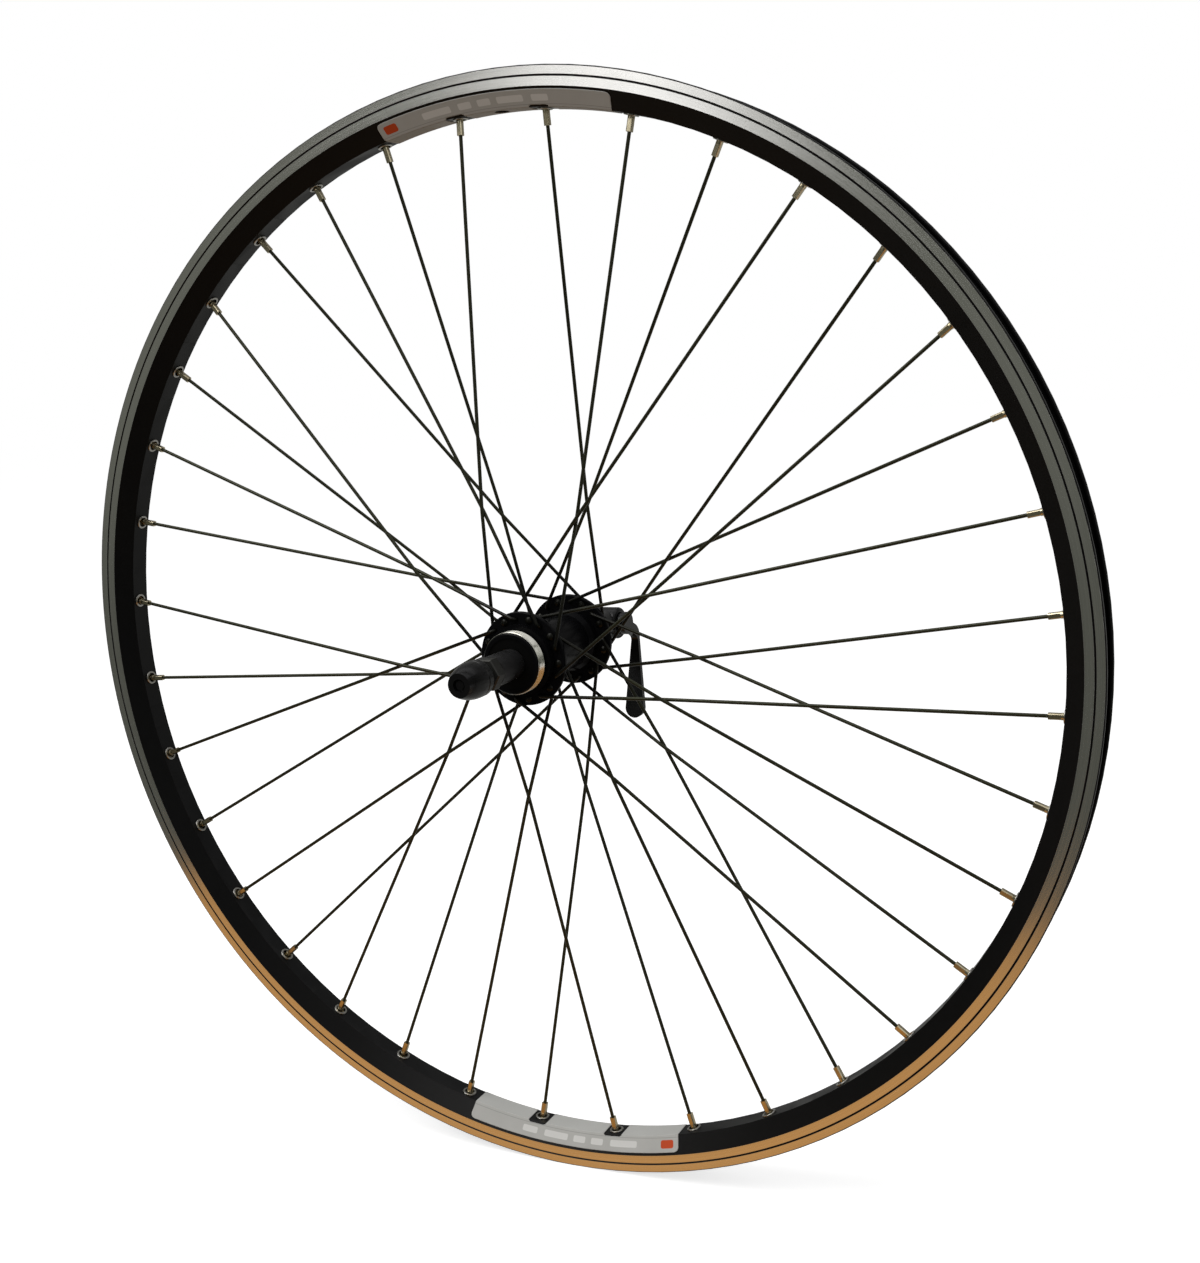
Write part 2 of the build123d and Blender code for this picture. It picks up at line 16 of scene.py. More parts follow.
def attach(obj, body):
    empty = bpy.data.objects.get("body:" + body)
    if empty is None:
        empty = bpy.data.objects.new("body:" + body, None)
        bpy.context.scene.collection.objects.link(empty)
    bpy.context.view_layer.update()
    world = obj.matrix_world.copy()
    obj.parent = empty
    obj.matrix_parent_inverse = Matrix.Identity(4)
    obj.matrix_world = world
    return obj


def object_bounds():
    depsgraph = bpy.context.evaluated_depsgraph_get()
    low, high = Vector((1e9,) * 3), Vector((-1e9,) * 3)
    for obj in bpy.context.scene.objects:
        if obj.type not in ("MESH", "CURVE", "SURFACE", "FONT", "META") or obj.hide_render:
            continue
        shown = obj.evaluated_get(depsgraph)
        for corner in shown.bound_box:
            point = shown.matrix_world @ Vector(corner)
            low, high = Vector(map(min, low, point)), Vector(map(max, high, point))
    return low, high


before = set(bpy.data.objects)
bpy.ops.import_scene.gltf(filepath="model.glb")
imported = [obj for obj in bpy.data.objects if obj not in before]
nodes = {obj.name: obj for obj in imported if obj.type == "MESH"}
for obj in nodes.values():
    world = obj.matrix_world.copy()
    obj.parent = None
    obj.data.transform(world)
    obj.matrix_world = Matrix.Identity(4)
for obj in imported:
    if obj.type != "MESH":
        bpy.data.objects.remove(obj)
cad_box = [list(map(float, corner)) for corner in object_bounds()]
scene = bpy.context.scene
scene.view_settings.view_transform = "Standard"
mm = 0.001
print("nodes", len(nodes), "box", np.round(cad_box, 4).tolist())

# %% [markdown]
# ## Small tools for shaders
# A finish is a chain of plain sums, so a few short helpers save a lot of typing. One adds a math node,
# one turns a value into a mask between two limits, and one mixes two colours. Values that are the same
# all over a piece are written on the shader itself.

# %% Number and colour helpers


def new_material(name, colour, metallic, roughness, specular=0.5):
    """A material with one principled shader, its uniform values set on the shader itself."""
    material = bpy.data.materials.new(name)
    material.use_nodes = True
    shader = material.node_tree.nodes["Principled BSDF"]
    shader.inputs["Base Color"].default_value = (*colour, 1.0)
    shader.inputs["Metallic"].default_value = metallic
    shader.inputs["Roughness"].default_value = roughness
    shader.inputs["Specular IOR Level"].default_value = specular
    return material, material.node_tree, shader


def feed(tree, socket, value):
    """Link an output to a socket, or write a plain value there."""
    if isinstance(value, bpy.types.NodeSocket):
        tree.links.new(value, socket)
    else:
        socket.default_value = value


def calc(tree, operation, a, b=0.0):
    """One math node: its output is a operation b."""
    node = tree.nodes.new("ShaderNodeMath")
    node.operation = operation
    feed(tree, node.inputs[0], a)
    feed(tree, node.inputs[1], b)
    return node.outputs[0]


def ramp(tree, value, low, high, out_low=0.0, out_high=1.0):
    """Smooth rise from out_low at low to out_high at high."""
    node = tree.nodes.new("ShaderNodeMapRange")
    node.interpolation_type = "SMOOTHSTEP"
    limits = {"From Min": low, "From Max": high, "To Min": out_low, "To Max": out_high}
    for name, number in limits.items():
        feed(tree, node.inputs[name], number)
    feed(tree, node.inputs["Value"], value)
    return node.outputs[0]


def blend_colour(tree, factor, a, b):
    """Colour a where the factor is 0 and b where it is 1."""
    node = tree.nodes.new("ShaderNodeMix")
    node.data_type = "RGBA"
    feed(tree, node.inputs["Factor"], factor)
    for socket, colour in ((node.inputs["A"], a), (node.inputs["B"], b)):
        feed(tree, socket, colour if isinstance(colour, bpy.types.NodeSocket) else (*colour, 1.0))
    return node.outputs["Result"]


# %% [markdown]
# ## Places and grain
# Many finishes need the distance from the axle and the place along it. Both come from the object's
# own coordinates, so the finish turns with the wheel. Real metal is never even, so a soft noise varies
# its colour and gloss, and a noise along one line makes the rings that a lathe tool leaves.

# %% Place and grain helpers


def own_point(tree):
    """The point in its object's own coordinates."""
    return tree.nodes.new("ShaderNodeTexCoord").outputs["Object"]


def split_xyz(tree, point):
    """The three numbers of a point: across the wheel, along the axle, and up."""
    split = tree.nodes.new("ShaderNodeSeparateXYZ")
    tree.links.new(point, split.inputs[0])
    return tuple(split.outputs)


def from_axle(tree, x, z):
    """Distance from the axle, the root of x squared plus z squared."""
    squares = calc(tree, "ADD", calc(tree, "MULTIPLY", x, x), calc(tree, "MULTIPLY", z, z))
    return calc(tree, "SQRT", squares)


def grain(tree, point, scale):
    """A soft noise from 0 to 1, with so many lumps to the metre."""
    node = tree.nodes.new("ShaderNodeTexNoise")
    feed(tree, node.inputs["Vector"], point)
    node.inputs["Scale"].default_value = scale
    node.inputs["Detail"].default_value = 3.0
    return node.outputs["Fac"]


def tool_rings(tree, value, pitch, detail):
    """A noise from 0 to 1 along one line, with about one ring to a pitch."""
    node = tree.nodes.new("ShaderNodeTexNoise")
    node.noise_dimensions = "1D"
    node.inputs["Scale"].default_value = 1.0
    node.inputs["Detail"].default_value = detail
    tree.links.new(calc(tree, "DIVIDE", value, pitch), node.inputs["W"])
    return node.outputs["Fac"]


def vary_gloss(tree, shader, noise, low, high, spread=0.2):
    """Let the roughness rise from low to high over the middle part of a noise."""
    middle = 0.5
    rough = ramp(tree, noise, middle - spread, middle + spread, low, high)
    tree.links.new(rough, shader.inputs["Roughness"])


def bump(tree, shader, height, depth):
    """Drive the shader's normal from a height of this depth in metres."""
    node = tree.nodes.new("ShaderNodeBump")
    node.inputs["Distance"].default_value = depth
    feed(tree, node.inputs["Height"], height)
    tree.links.new(node.outputs[0], shader.inputs["Normal"])


def dress(material, *names):
    """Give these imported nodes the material."""
    for name in names:
        slots = nodes[name].data.materials
        slots.clear()
        slots.append(material)


# %% [markdown]
# ## The rim: where it is bright
# The hoop is anodised black all over and then turned bright on the two brake tracks. The wear groove is
# cut deeper and stays black. One material does it all, so it needs a mask that is 1 on the bright tracks:
# far enough out to the side, between two distances from the axle, and not in the groove.

# %% Rim masks
track_from, track_out = 306.75 * mm, 316.7 * mm
track_face = 12.2 * mm
groove_at, groove_half = 312.0 * mm, 0.62 * mm
mask_soft = 0.1 * mm
skin_dark, skin_light = (0.0022, 0.0022, 0.0026), (0.0042, 0.0042, 0.0047)
skin_rough, skin_rough_more, skin_specular = 0.36, 0.14, 0.18

rim_look, tree, shader = new_material("rim_black_turned", skin_dark, 0.0, skin_rough, skin_specular)
point = own_point(tree)
x, along, z = split_xyz(tree, point)
radius = from_axle(tree, x, z)
on_face = ramp(tree, calc(tree, "ABSOLUTE", along), track_face - mask_soft, track_face)
above = ramp(tree, radius, track_from - mask_soft, track_from)
below = ramp(tree, radius, track_out, track_out + mask_soft, 1.0, 0.0)
from_groove = calc(tree, "ABSOLUTE", calc(tree, "SUBTRACT", radius, groove_at))
off_groove = ramp(tree, from_groove, groove_half - mask_soft, groove_half)
on_track = calc(tree, "MULTIPLY", on_face, calc(tree, "MULTIPLY", above, below))
bright = calc(tree, "MULTIPLY", on_track, off_groove)
print("brake track", round((track_out - track_from) / mm, 2), "mm wide")

# %% [markdown]
# ## The rim: black skin and turned metal
# The tracks keep the fine rings of the lathe tool, which show in the colour, the gloss and a very shallow
# bump. The rings stretch reflections across themselves, so the shader is anisotropic and its tangent
# points out from the axle. The black skin only has a little cloudiness.

# %% Rim finish
ring_pitch, ring_detail, ring_depth = 0.9 * mm, 1.0, 0.0015 * mm
smear_scale, skin_scale = 18.0, 240.0
silver_dark, silver_light = (0.70, 0.69, 0.67), (0.86, 0.85, 0.83)
metal_rough, metal_rough_rings, metal_rough_smear = 0.14, 0.10, 0.10
ring_stretch = 0.55

ring_tone = tool_rings(tree, radius, ring_pitch, ring_detail)
smear = grain(tree, point, smear_scale)
skin = blend_colour(tree, grain(tree, point, skin_scale), skin_dark, skin_light)
silver = blend_colour(tree, ring_tone, silver_dark, silver_light)
tree.links.new(blend_colour(tree, bright, skin, silver), shader.inputs["Base Color"])
tree.links.new(bright, shader.inputs["Metallic"])

from_rings = calc(tree, "MULTIPLY", ring_tone, metal_rough_rings)
from_smear = calc(tree, "MULTIPLY", smear, metal_rough_smear)
rough_on = calc(tree, "ADD", calc(tree, "ADD", from_rings, from_smear), metal_rough)
rough_off = calc(tree, "ADD", calc(tree, "MULTIPLY", smear, skin_rough_more), skin_rough)
mix_rough = tree.nodes.new("ShaderNodeMix")
for socket, value in zip(("Factor", "A", "B"), (bright, rough_off, rough_on)):
    feed(tree, mix_rough.inputs[socket], value)
tree.links.new(mix_rough.outputs["Result"], shader.inputs["Roughness"])
shader.inputs["Anisotropic"].default_value = ring_stretch

outward = tree.nodes.new("ShaderNodeCombineXYZ")
tree.links.new(x, outward.inputs["X"])
tree.links.new(z, outward.inputs["Z"])
to_world = tree.nodes.new("ShaderNodeVectorTransform")
to_world.vector_type = "VECTOR"
to_world.convert_from, to_world.convert_to = "OBJECT", "WORLD"
tree.links.new(outward.outputs[0], to_world.inputs[0])
tree.links.new(to_world.outputs[0], shader.inputs["Tangent"])
bump(tree, shader, calc(tree, "MULTIPLY", ring_tone, bright), ring_depth)
dress(rim_look, "rim")
print("rim", len(nodes["rim"].data.polygons), "faces")

# %% [markdown]
# ## Spokes
# The spokes are drawn wire with a black oxide coat, which looks faintly olive and catches thin
# highlights. Their colour darkens to almost black towards the hub. A light noise along the wire
# breaks up its shine.

# %% Spoke finish
wire_dark, wire_light = (0.0205, 0.0215, 0.0115), (0.037, 0.0385, 0.0205)
near_hub_black = (0.006, 0.006, 0.004)
black_until, wire_from = 27.0 * mm, 75.0 * mm
streak_scale = 22.0
wire_rough_low, wire_rough_high, wire_rough_spread = 0.26, 0.44, 0.3
wire_metallic, wire_specular = 0.5, 0.3

spoke_look, tree, shader = new_material(
    "spoke_black_oxide", wire_dark, wire_metallic, wire_rough_low, wire_specular)
point = own_point(tree)
x, _, z = split_xyz(tree, point)
radius = from_axle(tree, x, z)
streak = grain(tree, point, streak_scale)
wire = blend_colour(tree, streak, wire_dark, wire_light)
# The colour fades to almost black towards the hub, from 75 mm in to 27 mm from the axle.
wire = blend_colour(tree, ramp(tree, radius, black_until, wire_from), near_hub_black, wire)
tree.links.new(wire, shader.inputs["Base Color"])
vary_gloss(tree, shader, streak, wire_rough_low, wire_rough_high, wire_rough_spread)
spokes = [name for name in nodes if "_spoke_" in name]
dress(spoke_look, *spokes)
print("spokes", len(spokes))

# %% [markdown]
# ## Nipples and eyelets
# The nipples are brass under a thin nickel plating that lets some yellow through, and the eyelets are
# pressed and plated steel. Both are metal with a mottled colour, so they share one recipe, which the
# thread of the hub uses again.

# %% Nipple and eyelet finishes


def mottled_metal(name, colour, other_colour, colour_scale, gloss_scale, rough):
    """Metal in which one noise mixes two colours and another noise varies the gloss between two limits."""
    material, tree, shader = new_material(name, colour, 1.0, rough[0])
    point = own_point(tree)
    mixed = blend_colour(tree, grain(tree, point, colour_scale), colour, other_colour)
    tree.links.new(mixed, shader.inputs["Base Color"])
    vary_gloss(tree, shader, grain(tree, point, gloss_scale), *rough)
    return material


nickel, brass = (0.56, 0.52, 0.40), (0.46, 0.38, 0.23)
nipple_look = mottled_metal("nipple_nickel_on_brass", nickel, brass,
                            colour_scale=160.0, gloss_scale=160.0, rough=(0.18, 0.30))
dress(nipple_look, "spoke_nipples")
dull_steel, clean_steel = (0.30, 0.29, 0.27), (0.46, 0.45, 0.42)
eyelet_look = mottled_metal("eyelet_plated_steel", dull_steel, clean_steel,
                            colour_scale=500.0, gloss_scale=500.0, rough=(0.18, 0.36))
dress(eyelet_look, "rim_eyelets")
print("nipples", len(nodes["spoke_nipples"].data.polygons), "faces")
print("eyelets", len(nodes["rim_eyelets"].data.polygons), "faces")

# %% [markdown]
# ## Hub, axle hardware and quick release
# The hub shell is black anodised and turned smooth, so its gloss is a little higher than the rim's. The
# cones, spacers and axle are dark oiled steel, the locknuts are plated, the bearings are ground bright,
# and the quick release is satin black. They share one recipe, because all of them are turned: a colour,
# fine rings along the axle, and a soft noise in the gloss.

# %% Hub and quick-release finishes


def turned(name, colour, metallic, rough, pitch, depth, specular=0.12):
    """A turned piece: rings of this pitch along the axle give a fine bump, and noise varies the gloss."""
    ring_slant, ring_detail = 0.7, 2.0
    haze_scale, haze_lift, haze_spread = 160.0, 1.5, 0.25
    material, tree, shader = new_material(name, colour, metallic, rough[0], specular)
    point = own_point(tree)
    x, along, z = split_xyz(tree, point)
    radius = from_axle(tree, x, z)
    haze = grain(tree, point, haze_scale)
    vary_gloss(tree, shader, haze, *rough, haze_spread)
    lighter = [haze_lift * channel for channel in colour]
    tree.links.new(blend_colour(tree, haze, colour, lighter), shader.inputs["Base Color"])
    slanted = calc(tree, "ADD", along, calc(tree, "MULTIPLY", radius, ring_slant))
    bump(tree, shader, tool_rings(tree, slanted, pitch, ring_detail), depth)
    return material


hub_look = turned("hub_black_anodised", (0.003, 0.003, 0.0035), metallic=0.0, rough=(0.21, 0.27),
                  pitch=0.35 * mm, depth=0.002 * mm, specular=0.06)
dress(hub_look, "hub_shell")
cap_look = turned("cap_black_steel", (0.003, 0.003, 0.003), metallic=0.0, rough=(0.34, 0.46),
                  pitch=0.5 * mm, depth=0.002 * mm, specular=0.06)
dress(cap_look, "right_dust_cap", "left_dust_cap")
dark_steel = turned("dark_oiled_steel", (0.030, 0.030, 0.031), metallic=0.6, rough=(0.26, 0.40),
                    pitch=0.3 * mm, depth=0.004 * mm)
dress(dark_steel, "hollow_axle", "right_bearing_cone", "left_bearing_cone")
dress(dark_steel, "right_axle_spacer", "left_axle_spacer")
plated = turned("black_plated_steel", (0.034, 0.034, 0.032), metallic=0.5, rough=(0.36, 0.48),
                pitch=0.3 * mm, depth=0.003 * mm, specular=0.1)
dress(plated, "right_locknut", "left_locknut")
race = turned("ground_steel", (0.55, 0.55, 0.54), metallic=1.0, rough=(0.10, 0.20),
              pitch=0.2 * mm, depth=0.001 * mm)
dress(race, "right_bearing_cup", "left_bearing_cup", "right_bearing_balls", "left_bearing_balls")
satin = turned("skewer_satin_black", (0.0042, 0.0042, 0.0046), metallic=0.0, rough=(0.16, 0.26),
               pitch=0.6 * mm, depth=0.002 * mm, specular=0.22)
dress(satin, "skewer_nut", "skewer_rod", "cam_housing", "cam_lever")
print("dressed", sorted({nodes[n].data.materials[0].name for n in nodes if nodes[n].data.materials}))

# %% [markdown]
# ## The lever's edges
# The lever is a casting, so none of its edges is sharp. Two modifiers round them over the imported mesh:
# the first joins its loose triangles, and the second bevels each edge that bends by more than 50 degrees.

# %% Round the lever
lever_round, round_steps = 0.9 * mm, 3
join_within = 0.001 * mm
sharp_over = radians(50.0)
lever = nodes["cam_lever"]
weld = lever.modifiers.new("join", "WELD")
weld.merge_threshold = join_within
bevel = lever.modifiers.new("round", "BEVEL")
bevel.width = lever_round
bevel.segments = round_steps
bevel.limit_method = "ANGLE"
bevel.angle_limit = sharp_over
bevel.harden_normals = True
print("lever edges rounded by", round(lever_round / mm, 2), "mm")

# %% [markdown]
# ## Surfaces from a grid
# Every new piece here is a sheet of points in rows and columns, worked out by a formula. One helper turns
# such a grid into a mesh. It can close the grid into a tube, leave cells out for holes, and keep numbers
# with the points for the shader.

# %% Grid helper


def grid_object(name, points, closed=False, keep=None, marks=None):
    """A mesh from a grid of points, rows by columns by xyz, with a four-sided face in each cell that is kept.

    A closed grid joins its last row to its first. Marks are numbers on the grid, stored with the points.
    """
    rows, columns = points.shape[:2]
    index = np.arange(rows * columns).reshape(rows, columns)
    here, after = (index, np.roll(index, -1, axis=0)) if closed else (index[:-1], index[1:])
    cells = np.stack([here[:, :-1], here[:, 1:], after[:, 1:], after[:, :-1]], axis=-1)
    cells = cells.reshape(-1, 4) if keep is None else cells[keep]
    used, faces = np.unique(cells, return_inverse=True)
    faces = faces.reshape(-1, 4)
    mesh = bpy.data.meshes.new(name)
    mesh.from_pydata(points.reshape(-1, 3)[used].tolist(), [], faces.tolist())
    mesh.polygons.foreach_set("use_smooth", np.ones(len(faces), dtype=bool))
    for key, field in (marks or {}).items():
        layer = mesh.attributes.new(key, "FLOAT", "POINT")
        layer.data.foreach_set("value", field.ravel()[used].astype(np.float32))
    mesh.update()
    obj = bpy.data.objects.new(name, mesh)
    scene.collection.objects.link(obj)
    print(name, len(mesh.polygons), "faces")
    return obj


# %% [markdown]
# ## The thread for the freewheel
# The bright end of the hub is a fine screw thread, 24 turns to the inch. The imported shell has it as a
# plain cylinder, so the ridge is laid over it as one surface: going round it and along it, the radius
# follows a triangle wave that slides forward by one pitch in each turn. It runs out flat at both ends.

# %% Freewheel thread


def thread_surface(core, depth, pitch, start, end, steps_round, steps_along):
    """Radius = core + depth times a triangle wave of (y / pitch - angle / one turn).

    The wave fades over 0.6 of a pitch at both ends, where the surface sinks a little under the core.
    """
    sink = 0.06 * mm
    fade_pitches = 0.6
    angle = 2 * pi * np.arange(steps_round)[:, None] / steps_round
    y = np.linspace(start, end, steps_along)[None, :]
    wave = np.abs(2 * ((y / pitch - angle / (2 * pi)) % 1.0) - 1.0)
    fade = np.clip(np.minimum(y - start, end - y) / (fade_pitches * pitch), 0.0, 1.0)
    r = core + depth * wave * fade - sink * (1.0 - fade)
    return np.stack([r * np.cos(angle), y + 0 * angle, r * np.sin(angle)], axis=-1)


thread_pitch = 25.4 / 24 * mm
thread_core, thread_depth = 17.48 * mm, 0.42 * mm
thread_start, thread_end = -37.65 * mm, -31.05 * mm
thread_points = thread_surface(thread_core, thread_depth, thread_pitch, thread_start, thread_end,
                               steps_round=288, steps_along=170)
thread = grid_object("freewheel_thread", thread_points, closed=True)
bright_steel, worn_steel = (0.62, 0.62, 0.58), (0.46, 0.44, 0.38)
thread_look = mottled_metal("thread_bright_steel", bright_steel, worn_steel,
                            colour_scale=90.0, gloss_scale=300.0, rough=(0.16, 0.30))
thread.data.materials.append(thread_look)
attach(thread, "wheel")

# %% [markdown]
# ## The axle's threaded ends
# Outside the locknuts the axle shows a few turns of its own thread, 1 mm a turn. It is the same surface
# again, with another core and pitch, once at each end.

# %% Axle threads
axle_pitch, axle_core, axle_depth = 1.0 * mm, 5.02 * mm, 0.22 * mm
axle_inner, axle_outer = 67.6 * mm, 72.9 * mm
axle_ends = {"axle_thread_right": (-axle_outer, -axle_inner), "axle_thread_left": (axle_inner, axle_outer)}
for name, (start, end) in axle_ends.items():
    ridge_points = thread_surface(axle_core, axle_depth, axle_pitch, start, end,
                                  steps_round=96, steps_along=90)
    ridge = grid_object(name, ridge_points, closed=True)
    ridge.data.materials.append(dark_steel)
    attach(ridge, "axle_set")

# %% [markdown]
# ## The films: section and shapes
# Two light grey films are stuck round the spoke bed, at the top and at the bottom, and up both side
# walls. Their width follows the rim's section a short way off the metal, so the first tool folds a flat
# width round the bed's two corners. Their length is measured at film_r, half way up the walls. The second
# tool measures the distance to a box with rounded corners, for the holes and the print.

# %% Film section
film_lift = 0.3 * mm
bed_r, bed_half = 297.0 * mm, 6.0 * mm
film_r = bed_r + 5.0 * mm
wall_top = np.array([12.25, 306.65]) * mm
wall_run = wall_top - np.array([bed_half, bed_r])
wall_dir = wall_run / np.hypot(*wall_run)
mitre = (1.0 - wall_dir[0]) / wall_dir[1]
fold_y, fold_r = bed_half + mitre * film_lift, bed_r - film_lift


def film_section(across):
    """Place (y, radius) at a signed distance across the film: level over the bed, then up the wall."""
    out = np.abs(across)
    on_wall = np.clip(out - fold_y, 0.0, None)
    y = np.minimum(out, fold_y) + on_wall * wall_dir[0]
    return np.sign(across) * y, fold_r + on_wall * wall_dir[1]


def rounded_box(u, v, u_mid, v_mid, half_u, half_v, corner):
    """Signed distance from a box with rounded corners, less than 0 inside."""
    du = np.abs(u - u_mid) - half_u + corner
    dv = np.abs(v - v_mid) - half_v + corner
    outside = np.hypot(np.maximum(du, 0.0), np.maximum(dv, 0.0))
    return outside + np.minimum(np.maximum(du, dv), 0.0) - corner


print("film folds", round(fold_y / mm, 2), "mm from the middle line")

# %% [markdown]
# ## The films: holes and print
# A film leaves a black square round each nipple and a round hole at the valve, and these are real holes:
# cells of the grid that lie inside them are left out. The print is plain, a row of bars, a thin line and
# an orange patch. Each mark is a distance worked out on the sheet and kept with its points, so that the
# shader can draw a clean edge.

# %% Film holes and print
hole_step = radians(10.0)
gap_half, gap_past_bed, gap_corner = 6.4 * mm, 1.6 * mm, 1.5 * mm
valve_gap = 4.4 * mm
lane = bed_half + 5.6 * mm
bar_list = ((-34, 9), (-16, 4), (-4, 4), (12, 8), (30, 5))
bar_half, bar_corner = 1.9 * mm, 0.9 * mm
line_at, line_half = bed_half + 1.9 * mm, 0.12 * mm
patch_from_end = 7.5 * mm
patch_long, patch_wide, patch_corner = 4.2 * mm, 2.4 * mm, 1.2 * mm


def film_cells(u, v, middle, half_turn):
    """True in each cell of the grid that isn't wholly inside a hole."""
    first = round((middle - half_turn) / hole_step - 0.5)
    last = round((middle + half_turn) / hole_step + 0.5)
    spots = (middle - (np.arange(first, last + 1) + 0.5) * hole_step) * film_r
    gap_wide = bed_half + gap_past_bed
    gaps = [rounded_box(u, v, spot, 0.0, gap_half, gap_wide, gap_corner) for spot in spots]
    gaps.append(np.hypot((middle - u / film_r - pi / 2) * bed_r, v) - valve_gap)
    gone = np.minimum.reduce(gaps) < 0.0
    return ~(gone[:-1, :-1] & gone[:-1, 1:] & gone[1:, 1:] & gone[1:, :-1])


def film_print(u, v, half_long):
    """Distances in millimetres from the bars, the line and the patch, alike on both walls."""
    side = np.abs(v)
    bars = [rounded_box(u, side, centre * mm, lane, half * mm, bar_half, bar_corner)
            for centre, half in bar_list]
    stripe = np.abs(side - line_at) - line_half
    patch_at = patch_from_end - half_long
    accent = rounded_box(u, side, patch_at, lane, patch_long, patch_wide, patch_corner)
    return {"bars": np.minimum.reduce(bars) / mm, "stripe": stripe / mm, "accent": accent / mm}


print("bars", len(bar_list), "on each wall")

# %% [markdown]
# ## The films: the sheets
# The length of a film follows the hoop. Near its two long edges the rows end a little earlier, on a
# quarter of a circle, which rounds the four corners. A modifier then gives the sheet its thickness,
# towards the metal.

# %% Films
film_wall, end_round = 10.4 * mm, 3.0 * mm
film_thick = 0.95 * film_lift
film_rows, film_columns = 301, 101
half_across = bed_half + film_wall


def film(name, first, last):
    """A sheet round the hoop from one angle to another: angle = middle - u / film_r, width by the section."""
    middle, half_turn = (first + last) / 2, (last - first) / 2
    half_long = half_turn * film_r
    v = np.linspace(-half_across, half_across, film_columns)[None, :]
    edge = np.clip(np.abs(v) - (half_across - end_round), 0.0, None)
    reach = half_long - end_round + np.sqrt(np.maximum(end_round**2 - edge**2, 0.0))
    u = np.linspace(-1.0, 1.0, film_rows)[:, None] * reach
    v = v + 0 * u
    angle = middle - u / film_r
    y, r = film_section(v)
    points = np.stack([r * np.cos(angle), y, r * np.sin(angle)], axis=-1)
    keep = film_cells(u, v, middle, half_turn)
    sheet = grid_object(name, points, keep=keep, marks=film_print(u, v, half_long))
    body = sheet.modifiers.new("thickness", "SOLIDIFY")
    body.thickness = film_thick
    body.offset = -1.0
    body.use_even_offset = True
    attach(sheet, "wheel")
    print(name, "flat size in mm", round(2 * half_long / mm, 1), "by", round(2 * half_across / mm, 1))
    return sheet


film_angles = {"film_top": (76.7, 104.0), "film_bottom": (256.6, 283.5)}
sheets = [film(name, radians(first), radians(last)) for name, (first, last) in film_angles.items()]

# %% [markdown]
# ## The films: colours
# The film is satin plastic, a little uneven in its grey. The three marks are painted one over the other,
# each where its own distance is less than 0, with an edge that is soft over a tenth of a millimetre.

# %% Film finish
grey_dark, grey_light = (0.46, 0.46, 0.44), (0.54, 0.54, 0.52)
line_grey, bar_white, patch_orange = (0.26, 0.26, 0.25), (0.72, 0.72, 0.70), (0.60, 0.075, 0.02)
film_grain, film_specular = 60.0, 0.2
film_rough_low, film_rough_high = 0.32, 0.46
edge_soft = 0.12

film_look, tree, shader = new_material("film_light_grey", grey_dark, 0.0, film_rough_low, film_specular)
fade = grain(tree, own_point(tree), film_grain)
colour = blend_colour(tree, fade, grey_dark, grey_light)
for key, ink in (("stripe", line_grey), ("bars", bar_white), ("accent", patch_orange)):
    mark = tree.nodes.new("ShaderNodeAttribute")
    mark.attribute_name = key
    inside = ramp(tree, mark.outputs["Fac"], -edge_soft, edge_soft, 1.0, 0.0)
    colour = blend_colour(tree, inside, colour, ink)
tree.links.new(colour, shader.inputs["Base Color"])
vary_gloss(tree, shader, fade, film_rough_low, film_rough_high)
for sheet in sheets:
    sheet.data.materials.append(film_look)
print("films dressed", len(sheets))

# %% [markdown]
# ## The studio: world and floor
# The photograph shows the wheel cut out on white. A white world lights it evenly. The floor is pale, is
# lifted to white for the camera and keeps the shadow. The wheel stood over a tan table, so the light that
# the floor throws back on the wheel is dim and tan.

# %% World and floor


def seen_rays(tree):
    """1 for rays from the camera, off shiny faces and through glass, and 0 for light on matt faces."""
    path = tree.nodes.new("ShaderNodeLightPath")
    seen = calc(tree, "MAXIMUM", path.outputs["Is Camera Ray"], path.outputs["Is Glossy Ray"])
    return calc(tree, "MAXIMUM", seen, path.outputs["Is Transmission Ray"])


def white_world(strength):
    """A world that lights at the given strength and is plain white to the camera and in mirrors and glass."""
    world = bpy.data.worlds.new("white_studio")
    world.use_nodes = True
    tree = world.node_tree
    tree.nodes.clear()
    glow = tree.nodes.new("ShaderNodeBackground")
    tree.links.new(ramp(tree, seen_rays(tree), 0.0, 1.0, strength, 1.0), glow.inputs["Strength"])
    glow.inputs["Color"].default_value = (1.0, 1.0, 1.0, 1.0)
    out = tree.nodes.new("ShaderNodeOutputWorld")
    tree.links.new(glow.outputs[0], out.inputs["Surface"])
    scene.world = world


def sheet_of(name, corners, colour, glow_colour, bounce=None):
    """A matt sheet of the studio that glows where it is seen. A bounce is its colour where it lights."""
    mesh = bpy.data.meshes.new(name)
    mesh.from_pydata(corners, [], [tuple(range(len(corners)))])
    matt_rough = 0.9
    material, tree, shader = new_material(name, colour, 0.0, matt_rough, 0.0)
    shader.inputs["Emission Color"].default_value = (*glow_colour, 1.0)
    seen = seen_rays(tree)
    tree.links.new(seen, shader.inputs["Emission Strength"])
    if bounce:
        tree.links.new(blend_colour(tree, seen, bounce, colour), shader.inputs["Base Color"])
    mesh.materials.append(material)
    obj = bpy.data.objects.new(name, mesh)
    scene.collection.objects.link(obj)
    return obj


def flat(x0, x1, y0, y1, z):
    """Corners of a level rectangle."""
    return [(x0, y0, z), (x1, y0, z), (x1, y1, z), (x0, y1, z)]


